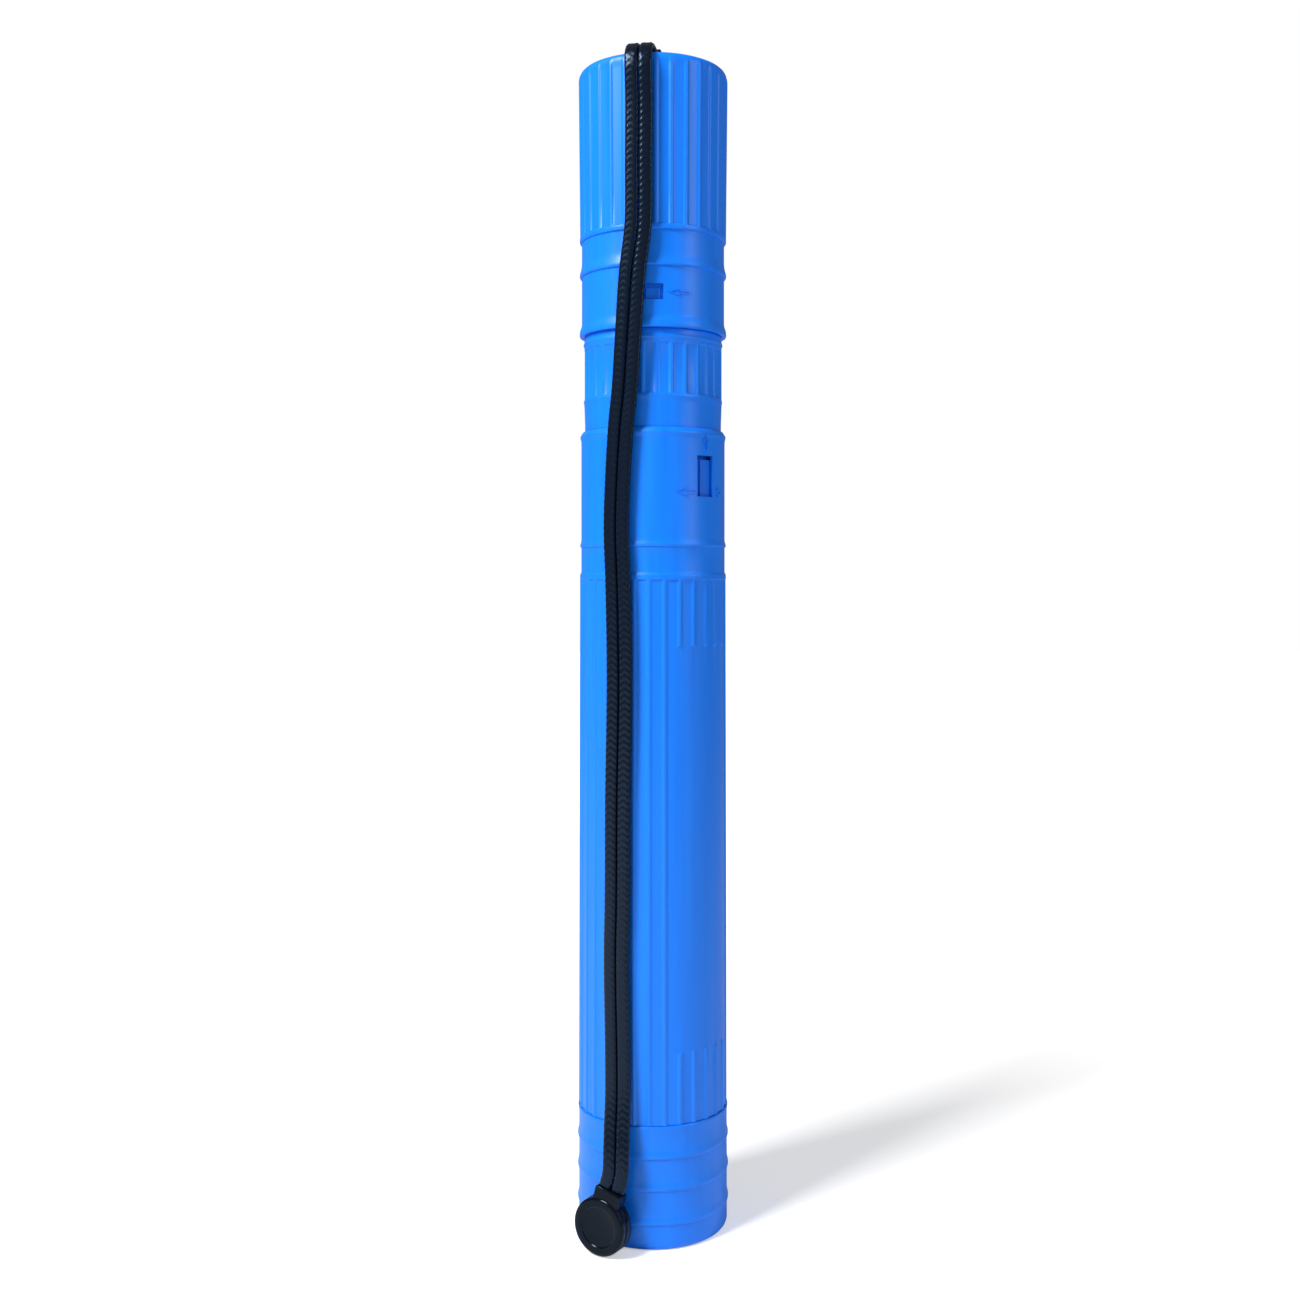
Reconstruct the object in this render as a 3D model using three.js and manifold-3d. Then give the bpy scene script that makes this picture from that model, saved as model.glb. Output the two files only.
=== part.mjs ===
// Telescopic poster tube, millimetres, +Z up, standing on its base with the origin at the base centre.
// Front is -Y. Angles called "turn" are measured from the front, positive towards +X.
import * as THREE from 'three';
import { mergeVertices } from 'three/addons/utils/BufferGeometryUtils.js';
import Module from 'manifold-3d';

const wasm = await Module();
wasm.setup();

// Driving heights
const totalHeight = 622;
const outerTop = 427.4;
const baseCapTop = 64.5;
const neckShown = 51.6;
const lidBottom = outerTop + neckShown;

// Driving radius; walls, steps and fits give the others
const bodyRadiusTop = 39.6;
const bodyDraft = 0.6;
const bodyRadiusBottom = bodyRadiusTop + bodyDraft;
const collarStep = 0.7;
const collarRadius = bodyRadiusTop - collarStep;
const collarWall = 1.5;
const outerBore = collarRadius - collarWall;
const shaftGap = 2.9;
const shaftRadius = outerBore - shaftGap;
const shaftWall = 1.5;
const lidOverBody = 0.1;
const lidRadiusLow = bodyRadiusTop + lidOverBody;
const lidFlare = 0.8;
const lidRadiusTop = lidRadiusLow + lidFlare;
const lidBandStep = 1.1;
const lidBandRadius = lidRadiusLow - lidBandStep;
const lidWall = 1.7;
const lidBore = lidBandRadius - lidWall;
const fit = 0.3;

// Grip ribs, the same number on lid, neck and body
const ribCount = 30;
const ribWidth = 2.6;
const ribHeight = 0.7;
const bodyRibPhase = -3.0;
const neckRibPhase = 3.2;
const lidRibPhase = 2.0;
const segments = 2 * ribCount;
const plainSegments = 40;

const blue = new THREE.MeshStandardMaterial({ color: 0x1070f0, roughness: 0.35, metalness: 0 });
const blueInner = new THREE.MeshStandardMaterial({ color: 0x1262d8, roughness: 0.45, metalness: 0 });
const blackGloss = new THREE.MeshStandardMaterial({ color: 0x0c0f16, roughness: 0.2, metalness: 0 });
const blackCord = new THREE.MeshStandardMaterial({ color: 0x0a0c12, roughness: 0.7, metalness: 0 });

const group = new THREE.Group();

// A closed geometry as a solid, with shared corners merged and empty triangles left out
function solidOf(geometry) {
  const bare = geometry.clone();
  bare.deleteAttribute('normal');
  bare.deleteAttribute('uv');
  const merged = mergeVertices(bare, 1e-4);
  const kept = [];
  for (let i = 0; i < merged.index.count; i += 3) {
    const a = merged.index.getX(i);
    const b = merged.index.getX(i + 1);
    const c = merged.index.getX(i + 2);
    if (a !== b && b !== c && c !== a) kept.push(a, b, c);
  }
  const vertProperties = new Float32Array(merged.attributes.position.array);
  return new wasm.Manifold(new wasm.Mesh({ numProp: 3, vertProperties, triVerts: new Uint32Array(kept) }));
}

function geometryOf(solid) {
  const mesh = solid.getMesh();
  const geometry = new THREE.BufferGeometry();
  geometry.setAttribute('position', new THREE.BufferAttribute(mesh.vertProperties, 3));
  geometry.setIndex(new THREE.BufferAttribute(mesh.triVerts, 1));
  geometry.computeVertexNormals();
  return geometry;
}

function addPiece(name, shape, material) {
  const geometry = shape.isBufferGeometry ? shape : geometryOf(shape);
  const mesh = new THREE.Mesh(geometry, material);
  mesh.name = name;
  group.add(mesh);
  return mesh;
}

// A closed profile of [radius, height] pairs turned about Z, given anticlockwise, with a corner at startTurn
function turned(profile, sides = segments, startTurn = 0) {
  const points = profile.map(([radius, height]) => new THREE.Vector2(radius, height));
  points.push(points[0].clone());
  const geometry = new THREE.LatheGeometry(points, sides, THREE.MathUtils.degToRad(startTurn));
  geometry.rotateX(Math.PI / 2);
  return solidOf(geometry);
}

// Points of an arc in a profile, angles in degrees from the outward radius
function arc(centreRadius, centreHeight, radius, from, to, steps) {
  const points = [];
  for (let i = 0; i <= steps; i += 1) {
    const angle = THREE.MathUtils.degToRad(from + ((to - from) * i) / steps);
    points.push([centreRadius + radius * Math.cos(angle), centreHeight + radius * Math.sin(angle)]);
  }
  return points;
}

// A bead on a wall, from below, ready to sit in a profile that climbs the outside
function bead(wallRadius, height, reach, halfHeight) {
  return [
    [wallRadius, height - halfHeight],
    [wallRadius + reach, height],
    [wallRadius, height + halfHeight * 1.6],
  ];
}

// A wedge of a ring, seen from above, between two turns in degrees
function wedge(fromTurn, toTurn, innerRadius, outerRadius) {
  const steps = Math.ceil((toTurn - fromTurn) / pitch);
  const shape = new THREE.Shape();
  const at = (turn, radius) => {
    const angle = THREE.MathUtils.degToRad(turn - 90);
    return [radius * Math.cos(angle), radius * Math.sin(angle)];
  };
  shape.moveTo(...at(fromTurn, innerRadius));
  for (let i = 0; i <= steps; i += 1) {
    shape.lineTo(...at(fromTurn + ((toTurn - fromTurn) * i) / steps, outerRadius));
  }
  for (let i = steps; i > 0; i -= 1) {
    shape.lineTo(...at(fromTurn + ((toTurn - fromTurn) * i) / steps, innerRadius));
  }
  return shape;
}

function raised(shapes, bottom, top) {
  const geometry = new THREE.ExtrudeGeometry(shapes, { depth: top - bottom, bevelEnabled: false });
  geometry.translate(0, 0, bottom);
  return solidOf(geometry);
}

// The flutes between the ribs: wedges all round, kept outside a surface with one flat for each flute
const cutMargin = 10;
const cutReach = bodyRadiusBottom + cutMargin;
const cutInner = shaftRadius - cutMargin;
const pitch = 360 / ribCount;
const halfFacet = 180 / segments;
function flutes(phase, radiusAtRib, bottom, top, panelSurface) {
  const ribTurn = THREE.MathUtils.radToDeg(ribWidth / radiusAtRib);
  const wedges = [];
  for (let i = 0; i < ribCount; i += 1) {
    const start = phase + pitch * i + ribTurn / 2;
    wedges.push(wedge(start, start + pitch - ribTurn, cutInner, cutReach));
  }
  return raised(wedges, bottom, top).intersect(panelSurface);
}

// Outer tube: collar with lock window, ribbed body, label panel, spigot into the base cap
const spigotLength = 9;
const spigotWall = 1.3;
const spigotRadius = outerBore + spigotWall;
const spigotBottom = baseCapTop - spigotLength;
const bodyBottom = baseCapTop + fit;
const collarHeight = 77.4;
const bodyShoulder = outerTop - collarHeight;
const bodyRibBottom = bodyBottom - 1;
const ribTopInset = 2.2;
const collarBead = bodyShoulder + 16;
const collarLip = 3.2;
const lockShelfDrop = 39.4;
const lockShelfTop = outerTop - lockShelfDrop;
const lockShelfHeight = 2.4;
const lockShelfBore = shaftRadius + 0.6;
const windowHeight = 21.6;
const windowBottom = lockShelfTop + 3.4;
const windowTop = windowBottom + windowHeight;
const windowTurn = 45.2;
const windowWidth = 11.8;
const labelInset = 37.5;
const labelBottom = baseCapTop + labelInset;
const labelTop = bodyShoulder - labelInset;
const labelRibs = 6;

function bodyRadius(height) {
  const share = (height - bodyBottom) / (bodyShoulder - bodyBottom);
  return THREE.MathUtils.lerp(bodyRadiusBottom, bodyRadiusTop, share);
}

function radialBox(turn, width, innerRadius, outerRadius, bottom, top) {
  const box = new THREE.BoxGeometry(width, outerRadius - innerRadius, top - bottom);
  box.translate(0, -(innerRadius + outerRadius) / 2, (bottom + top) / 2);
  box.rotateZ(THREE.MathUtils.degToRad(turn));
  return solidOf(box);
}

function outerTube() {
  const shell = turned([
    [outerBore, spigotBottom],
    [spigotRadius, spigotBottom],
    [spigotRadius, bodyBottom],
    [bodyRadiusBottom, bodyBottom],
    [bodyRadiusTop, bodyShoulder],
    [bodyRadiusTop - 0.1, bodyShoulder + 1],
    [collarRadius, bodyShoulder + 2],
    ...bead(collarRadius, collarBead, 0.6, 1.2),
    [collarRadius, outerTop - collarLip - 1.5],
    [collarRadius + 0.5, outerTop - collarLip],
    [collarRadius + 0.5, outerTop - collarLip + 1],
    [outerBore + 0.6, outerTop],
    [outerBore, outerTop],
    [outerBore, lockShelfTop],
    [lockShelfBore, lockShelfTop],
    [lockShelfBore, lockShelfTop - lockShelfHeight],
    [outerBore, lockShelfTop - lockShelfHeight - 1.5],
  ], segments, bodyRibPhase + halfFacet);
  const ribTop = bodyShoulder - ribTopInset;
  const panelSurface = turned([
    [bodyRadius(bodyRibBottom) - ribHeight, bodyRibBottom],
    [cutReach, bodyRibBottom],
    [cutReach, ribTop],
    [bodyRadius(ribTop) - ribHeight, ribTop],
  ], ribCount, bodyRibPhase);
  const grooves = flutes(bodyRibPhase, bodyRadiusTop, bodyRibBottom, ribTop, panelSurface);
  const labelStart = bodyRibPhase + pitch + pitch / 2;
  const labelWedge = wedge(labelStart, labelStart + pitch * (labelRibs - 1), cutInner, cutReach);
  const label = raised([labelWedge], labelBottom, labelTop).intersect(panelSurface);
  const opening = radialBox(windowTurn, windowWidth, outerBore - 2, cutReach, windowBottom, windowTop);
  return shell.subtract(grooves).subtract(label).subtract(opening);
}
addPiece('outer_tube', outerTube(), blue);

// Base cap: pressed over the spigot, hoops, flat foot ring, and a hole that takes the strap's end button
const capSocketRadius = spigotRadius + fit;
const footRecess = 1.2;
const capFloorThickness = 2.4;
const capFloor = footRecess + capFloorThickness;
const footRingWidth = 16.2;
const footInner = bodyRadiusBottom - footRingWidth;
const footCorner = 3;
const hoopShares = [0.223, 0.496, 0.752];
const hoopReach = 0.6;
const buttonStudRadius = 3.9;
const studHoleRadius = buttonStudRadius + fit;

function baseCap() {
  const wallRadius = bodyRadiusBottom;
  return turned([
    [studHoleRadius, footRecess],
    [footInner, footRecess],
    [footInner + 1, 0],
    ...arc(wallRadius - footCorner, footCorner, footCorner, -90, 0, 3),
    ...hoopShares.flatMap((share) => bead(wallRadius - 0.1, baseCapTop * share, hoopReach, 1.4)),
    [wallRadius, baseCapTop - 4],
    [wallRadius + 0.3, baseCapTop - 1.2],
    [wallRadius + 0.2, baseCapTop],
    [capSocketRadius, baseCapTop],
    [capSocketRadius, spigotBottom - fit],
    [outerBore, spigotBottom - fit],
    [outerBore, capFloor],
    [studHoleRadius, capFloor],
  ], plainSegments);
}
addPiece('base_cap', baseCap(), blue);

// Lock ring: turns inside the collar on the shelf, its tongues run in the inner tube's keyways
const lockRingBottom = lockShelfTop + fit;
const lockRingHeight = 22.7;
const lockRingTop = lockRingBottom + lockRingHeight;
const keyCount = 4;
const keyWidth = 6;
const keyDepth = 0.8;
const keySideGap = 0.4;
const lockRingBore = shaftRadius + 0.6;
const lockRingRadius = outerBore - fit;
const keyPhase = 20;
const indexNotchDepth = 1;
const indexNotchWidth = 3.6;

function lockRing() {
  let ring = turned([
    [lockRingBore, lockRingBottom],
    [lockRingRadius, lockRingBottom],
    [lockRingRadius, lockRingTop],
    [lockRingBore, lockRingTop],
  ], plainSegments);
  for (let i = 0; i < keyCount; i += 1) {
    const turn = keyPhase + (360 / keyCount) * i;
    const tip = shaftRadius - keyDepth + fit;
    ring = ring.add(radialBox(turn, keyWidth, tip, lockRingBore + 0.8, lockRingBottom, lockRingTop));
  }
  const notchTurn = windowTurn - THREE.MathUtils.radToDeg((windowWidth - indexNotchWidth) / 2 / lockRingRadius);
  return ring.subtract(radialBox(
    notchTurn,
    indexNotchWidth,
    lockRingRadius - indexNotchDepth,
    cutReach,
    lockRingBottom - 1,
    lockRingTop + 1,
  ));
}
addPiece('lock_ring', lockRing(), blueInner);

// Inner tube: plain shaft with keyways, a guide bead at its foot that stops under the shelf
const shaftBottom = capFloor + fit;
const shaftInLid = 66;
const shaftTop = lidBottom + shaftInLid;
const guideBeadRadius = outerBore - fit;
const guideBeadHeight = 12;
const neckOverlap = 11.4;
const neckBottom = outerTop - neckOverlap;
const keywayBottom = shaftBottom + guideBeadHeight + 1;
const keywayTop = neckBottom - 1;

function innerTube() {
  const shaftBore = shaftRadius - shaftWall;
  let tube = turned([
    [shaftBore, shaftBottom],
    [shaftRadius, shaftBottom],
    [guideBeadRadius, shaftBottom + 1.5],
    [guideBeadRadius, shaftBottom + guideBeadHeight - 1.5],
    [guideBeadRadius - 1, shaftBottom + guideBeadHeight],
    [shaftRadius, shaftBottom + guideBeadHeight],
    [shaftRadius, shaftTop - 0.5],
    [shaftRadius - 0.5, shaftTop],
    [shaftBore, shaftTop],
  ], plainSegments);
  for (let i = 0; i < keyCount; i += 1) {
    const turn = keyPhase + (360 / keyCount) * i;
    const width = keyWidth + keySideGap * 2;
    tube = tube.subtract(radialBox(turn, width, shaftRadius - keyDepth, cutReach, keywayBottom, keywayTop));
  }
  return tube;
}
addPiece('inner_tube', innerTube(), blueInner);

// Neck collar: ribbed ring fixed on the inner tube, with the spigot and lug that the lid turns on
const neckRadius = outerBore - 0.15;
const neckFootRadius = outerBore - 0.5;
const neckRingRise = 17.4;
const neckRingTop = outerTop + neckRingRise;
const neckPanelTop = lidBottom - 7.2;
const neckBeadHeight = lidBottom - 4.5;
const neckShoulder = lidBottom - fit;
const neckBore = shaftRadius + fit;
const spigotLand = lidBore - fit - 0.05;
const neckSpigotLength = 30;
const neckSpigotTop = lidBottom + neckSpigotLength;
const lugTrackRadius = spigotLand - 0.75;
const lidWindowRise = 14.3;
const lidWindowHeight = 8.3;
const lidWindowBottom = lidBottom + lidWindowRise;
const lidWindowTop = lidWindowBottom + lidWindowHeight;
const lidWindowWidth = 10.7;
const lugWidth = 7.4;
const lugHeight = 6.2;

function neckCollar() {
  const ring = turned([
    [neckBore, neckBottom],
    [neckFootRadius, neckBottom],
    [neckFootRadius, outerTop + 4],
    [neckRadius, neckRingTop - 3],
    [neckRadius + 0.3, neckRingTop - 0.8],
    [neckRadius, neckRingTop + 0.2],
    ...bead(neckRadius, neckBeadHeight, 0.5, 1),
    [neckRadius, neckShoulder],
    [spigotLand, neckShoulder],
    [spigotLand, lidWindowBottom - 4],
    [lugTrackRadius, lidWindowBottom - 3.4],
    [lugTrackRadius, lidWindowTop + 2.4],
    [spigotLand, lidWindowTop + 3],
    [spigotLand, neckSpigotTop],
    [neckBore, neckSpigotTop],
  ], segments, neckRibPhase + halfFacet);
  const panelSurface = turned([
    [neckRadius - ribHeight, neckRingTop],
    [cutReach, neckRingTop],
    [cutReach, neckPanelTop],
    [neckRadius - ribHeight, neckPanelTop],
  ], ribCount, neckRibPhase);
  const grooves = flutes(neckRibPhase, neckRadius, neckRingTop, neckPanelTop, panelSurface);
  let collar = ring.subtract(grooves);
  const lugTop = lidWindowBottom + lugHeight;
  for (const turn of [0, 180]) {
    collar = collar.add(radialBox(turn, lugWidth, lugTrackRadius - 0.6, spigotLand - 0.2, lidWindowBottom, lugTop));
  }
  return collar;
}
addPiece('neck_collar', neckCollar(), blue);

// Lid: rounded rim, ribs down to the first bead, plain bands, lug window, recessed top with stud hole
const rimCorner = 4.5;
const lidBeadReach = 1.2;
const lidUpperBeadRise = 52.2;
const lidBeadUpper = lidBottom + lidUpperBeadRise;
const lidRibBottom = lidBeadUpper + 1.4;
const lidRibTop = totalHeight - rimCorner;
const lidMiddleBeadRise = 33.6;
const lidBeadMiddle = lidBottom + lidMiddleBeadRise;
const lidLipTop = lidBottom + 5.5;
const lidPlateTop = totalHeight - 1.1;
const lidPlateThickness = 2.2;
const lidUpperBore = lidBore + 1.2;
const lidBoreStep = lidBeadUpper + 4;
const lidRimWidth = 7;
const lidRimInner = lidRadiusTop - lidRimWidth;
const plateBottom = lidPlateTop - lidPlateThickness;

function lidRadius(height) {
  const share = (height - lidRibBottom) / (lidRibTop - lidRibBottom);
  return THREE.MathUtils.lerp(lidRadiusLow, lidRadiusTop, share);
}

function lidShell() {
  const shell = turned([
    [lidBore, lidBottom],
    [lidBandRadius + lidBeadReach, lidBottom],
    [lidBandRadius + lidBeadReach, lidBottom + 3],
    [lidBandRadius, lidLipTop + 2],
    [lidBandRadius, lidBeadMiddle - 1.6],
    [lidBandRadius + lidBeadReach, lidBeadMiddle - 0.8],
    [lidBandRadius, lidBeadMiddle + 4],
    [lidBandRadius, lidBeadUpper - 1.4],
    [lidRadiusLow, lidBeadUpper - 0.4],
    ...arc(lidRadiusTop - rimCorner, lidRibTop, rimCorner, 0, 90, 3),
    [lidRimInner + 0.8, totalHeight],
    [lidRimInner, lidPlateTop],
    [studHoleRadius, lidPlateTop],
    [studHoleRadius, plateBottom],
    [lidUpperBore, plateBottom],
    [lidUpperBore, lidBoreStep + 2],
    [lidBore, lidBoreStep],
  ], segments, lidRibPhase + halfFacet);
  const runOut = 2.5;
  const panelSurface = turned([
    [lidRadius(lidRibBottom) - ribHeight, lidRibBottom],
    [cutReach, lidRibBottom],
    [cutReach, lidRibTop + runOut],
    [lidRadiusTop, lidRibTop + runOut],
    [lidRadius(lidRibTop) - ribHeight, lidRibTop - runOut],
  ], ribCount, lidRibPhase);
  const grooves = flutes(lidRibPhase, lidRadiusTop, lidRibBottom, lidRibTop + runOut, panelSurface);
  const opening = radialBox(0, lidWindowWidth, lidBore - 2, cutReach, lidWindowBottom, lidWindowTop);
  return shell.subtract(grooves).subtract(opening);
}
addPiece('lid', lidShell(), blue);

// Strap buttons: the same two-part round button at each end of the strap, its ferrule holding both strands
const buttonRadius = 15;
const buttonThickness = 9;
const buttonEdge = 1.6;
const buttonSides = 28;
const studLength = 5;
const studGrooveDepth = 0.9;
const ferruleWidth = 15;
const ferruleReach = 5;
const ferruleRoot = 1.5;
const ferruleThickness = 7;
const clipThickness = 1;
const topButtonHeight = lidPlateTop + fit;
const clipTop = plateBottom - fit - topButtonHeight;
const buttonMiddle = buttonThickness / 2;

function ferrule(bottom, top) {
  const length = ferruleReach + ferruleRoot;
  const block = new THREE.BoxGeometry(ferruleWidth, length, top - bottom);
  block.translate(0, -(buttonRadius - ferruleRoot + length / 2), (bottom + top) / 2);
  return solidOf(block);
}

// The back half, its back at height 0, its ferrule towards the front, its stud grooved for the clip
const studNeck = buttonStudRadius - studGrooveDepth;
function buttonBase() {
  const seam = buttonMiddle - fit / 2;
  const disc = turned([
    [0, -studLength],
    [buttonStudRadius - 0.6, -studLength],
    [buttonStudRadius, -studLength + 0.4],
    [buttonStudRadius, clipTop - clipThickness - fit / 2],
    [studNeck, clipTop - clipThickness - fit / 2],
    [studNeck, clipTop + fit / 2],
    [buttonStudRadius, clipTop + fit / 2],
    [buttonStudRadius, 0],
    [buttonRadius - 0.8, 0],
    [buttonRadius, 0.8],
    [buttonRadius, seam],
    [0, seam],
  ], buttonSides);
  return disc.add(ferrule(buttonMiddle - ferruleThickness / 2, seam));
}

// The front half, with a rounded edge and a shallow round dish
function buttonCover() {
  const seam = buttonMiddle + fit / 2;
  const disc = turned([
    [0, seam],
    [buttonRadius, seam],
    ...arc(buttonRadius - buttonEdge, buttonThickness - buttonEdge, buttonEdge, 0, 90, 3),
    [buttonRadius - 4.5, buttonThickness],
    [buttonRadius - 5, buttonThickness - 0.5],
    [0, buttonThickness - 0.5],
  ], buttonSides);
  return disc.add(ferrule(seam, buttonMiddle + ferruleThickness / 2));
}

// The upper button snaps through the lid and is held from below by the clip
const strapTopTurn = -10.4;
const strapTopFrame = new THREE.Matrix4()
  .makeRotationZ(THREE.MathUtils.degToRad(strapTopTurn))
  .setPosition(0, 0, topButtonHeight);

function placed(shape, matrix) {
  return geometryOf(shape).applyMatrix4(matrix);
}
addPiece('top_button_base', placed(buttonBase(), strapTopFrame), blackGloss);
addPiece('top_button_cover', placed(buttonCover(), strapTopFrame), blackGloss);

const clipRadius = 8;
const clipBore = studNeck + fit;
const clipShape = turned([
  [clipBore, topButtonHeight + clipTop - clipThickness],
  [clipRadius, topButtonHeight + clipTop - clipThickness],
  [clipRadius, topButtonHeight + clipTop],
  [clipBore, topButtonHeight + clipTop],
], buttonSides);
addPiece('button_clip', clipShape, blackGloss);

// The end button hangs beside the base with its stud towards it, leaning with the strap
const endButtonTurn = -31;
const endButtonHeight = buttonRadius + 0.5;
const endButtonBack = bodyRadiusBottom + hoopReach + studLength + fit;
const endButtonLean = 16;
const endFrame = new THREE.Matrix4()
  .makeRotationZ(THREE.MathUtils.degToRad(endButtonTurn))
  .multiply(new THREE.Matrix4().makeTranslation(0, -endButtonBack, endButtonHeight))
  .multiply(new THREE.Matrix4().makeRotationX(Math.PI / 2))
  .multiply(new THREE.Matrix4().makeRotationZ(THREE.MathUtils.degToRad(180 - endButtonLean)));
addPiece('end_button_base', placed(buttonBase(), endFrame), blackGloss);
addPiece('end_button_cover', placed(buttonCover(), endFrame), blackGloss);

// Strap: two flat braided cords side by side, from the upper ferrule over the rim and down to the lower one
const cordWidth = 7;
const cordThickness = 4.2;
const cordSpacing = cordWidth + fit;
const cordSides = 8;
const stepsPerPoint = 2;

// The strap's middle line over the rim as turn, distance out from the lid's skin and height above its top
const overRim = [
  [-10.4, -12.5, 3.9],
  [-10.4, -8, 4],
  [-10.4, -3.4, 3.1],
  [-10.3, 0.5, 0.5],
  [-10.2, 3.1, -3.4],
  [-10, 4, -8],
  [-9.8, 3.7, -16],
  [-9.6, 3.1, -26],
  [-9.9, 2.8, -57],
  [-10.3, 2.8, -91],
];

// and down the front as turn, distance out from the body's skin and height, by hand along the photo's route
const downFront = [
  [-14.3, 3.1, 507],
  [-17.3, 3.1, 475],
  [-19.9, 3.1, 446],
  [-22.6, 3.1, 428],
  [-25.4, 3.1, 395],
  [-26.2, 3.1, 373],
  [-24.9, 3.1, 347],
  [-23.7, 3.1, 296],
  [-25, 3.1, 234],
  [-25.4, 3.1, 182],
  [-26.1, 3.1, 151],
  [-24.9, 3.3, 100],
  [-24.3, 4.2, 80],
  [-23.5, 6.8, 65],
  [-22.4, 9.6, 53],
];

// A point on the middle line of a ferrule, a distance out from its button's centre
function ferruleAxis(frame, distance) {
  return new THREE.Vector3(0, -distance, buttonMiddle).applyMatrix4(frame);
}

function routePoint(turn, radius, height) {
  const angle = THREE.MathUtils.degToRad(turn);
  return new THREE.Vector3(radius * Math.sin(angle), -radius * Math.cos(angle), height);
}

const cordStart = buttonRadius + ferruleReach + fit;
const cordLeadIn = 8;
const strapMiddle = [
  ferruleAxis(strapTopFrame, cordStart),
  ...overRim.map(([turn, out, rise]) => routePoint(turn, lidRadiusTop + out, totalHeight + rise)),
  ...downFront.map(([turn, out, height]) => routePoint(turn, bodyRadiusBottom + out, height)),
  ferruleAxis(endFrame, cordStart + cordLeadIn),
  ferruleAxis(endFrame, cordStart),
];

// A route whose section keeps its broad side square to the tube
class StrapPath extends THREE.CatmullRomCurve3 {
  getUtoTmapping(u) {
    return u;
  }

  computeFrenetFrames(steps) {
    const tangents = [];
    const normals = [];
    const binormals = [];
    for (let i = 0; i <= steps; i += 1) {
      const tangent = this.getTangent(i / steps);
      const sideways = across(this.getPoint(i / steps), tangent);
      tangents.push(tangent);
      normals.push(sideways);
      binormals.push(new THREE.Vector3().crossVectors(tangent, sideways));
    }
    return { tangents, normals, binormals };
  }
}

// The direction across the strap, square to its run and along the tube's skin
function across(point, along) {
  const sideways = new THREE.Vector3(-point.y, point.x, 0);
  return sideways.addScaledVector(along, -sideways.dot(along) / along.lengthSq()).normalize();
}

function strand(side) {
  const points = strapMiddle.map((point, i) => {
    const before = strapMiddle[Math.max(i - 1, 0)];
    const after = strapMiddle[Math.min(i + 1, strapMiddle.length - 1)];
    const along = new THREE.Vector3().subVectors(after, before);
    return point.clone().addScaledVector(across(point, along), (side * cordSpacing) / 2);
  });
  const section = new THREE.Shape();
  for (let i = 0; i < cordSides; i += 1) {
    const angle = (2 * Math.PI * (i + 0.5)) / cordSides;
    section.lineTo((cordWidth / 2) * Math.cos(angle), (cordThickness / 2) * Math.sin(angle));
  }
  const geometry = new THREE.ExtrudeGeometry(section, {
    steps: (strapMiddle.length - 1) * stepsPerPoint,
    bevelEnabled: false,
    extrudePath: new StrapPath(points),
  });
  return solidOf(geometry);
}
addPiece('strap_cord_left', strand(-1), blackCord);
addPiece('strap_cord_right', strand(1), blackCord);

export default group;
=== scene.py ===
import math
import bmesh
import bpy
from mathutils import Matrix, Vector


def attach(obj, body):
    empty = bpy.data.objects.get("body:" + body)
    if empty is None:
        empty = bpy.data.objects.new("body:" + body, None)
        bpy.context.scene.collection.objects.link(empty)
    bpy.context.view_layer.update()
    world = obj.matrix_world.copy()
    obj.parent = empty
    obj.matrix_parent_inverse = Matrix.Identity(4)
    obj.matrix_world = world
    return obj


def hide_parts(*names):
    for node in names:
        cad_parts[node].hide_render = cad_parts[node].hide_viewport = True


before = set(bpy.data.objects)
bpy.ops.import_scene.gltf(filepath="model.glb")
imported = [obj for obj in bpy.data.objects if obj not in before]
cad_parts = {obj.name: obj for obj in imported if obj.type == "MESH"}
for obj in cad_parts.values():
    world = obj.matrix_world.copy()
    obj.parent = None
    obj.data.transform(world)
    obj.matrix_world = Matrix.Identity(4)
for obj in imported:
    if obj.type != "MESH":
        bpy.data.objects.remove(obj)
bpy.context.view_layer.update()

scene = bpy.context.scene
scene.view_settings.view_transform = "Standard"

# The view
# A level camera in front of the tube, its eye a little above the tube's middle,
# shifted so that foot and rim both fall inside the frame.
eye_height = 0.3502
eye_distance = 0.8163
photo_width = 1300
focal_pixels = 1500
sensor_width = 36
horizon_above_middle = 75
axis_right_of_middle = 3
camera_data = bpy.data.cameras.new("photo_view")
camera_data.sensor_width = sensor_width
camera_data.lens = focal_pixels / photo_width * sensor_width
camera_data.shift_y = -horizon_above_middle / photo_width
camera_data.shift_x = -axis_right_of_middle / photo_width
camera_data.clip_start = 0.01
camera = bpy.data.objects.new("photo_view", camera_data)
camera.location = (0, -eye_distance, eye_height)
camera.rotation_euler = (math.radians(90), 0, 0)
scene.collection.objects.link(camera)
scene.camera = camera

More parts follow.
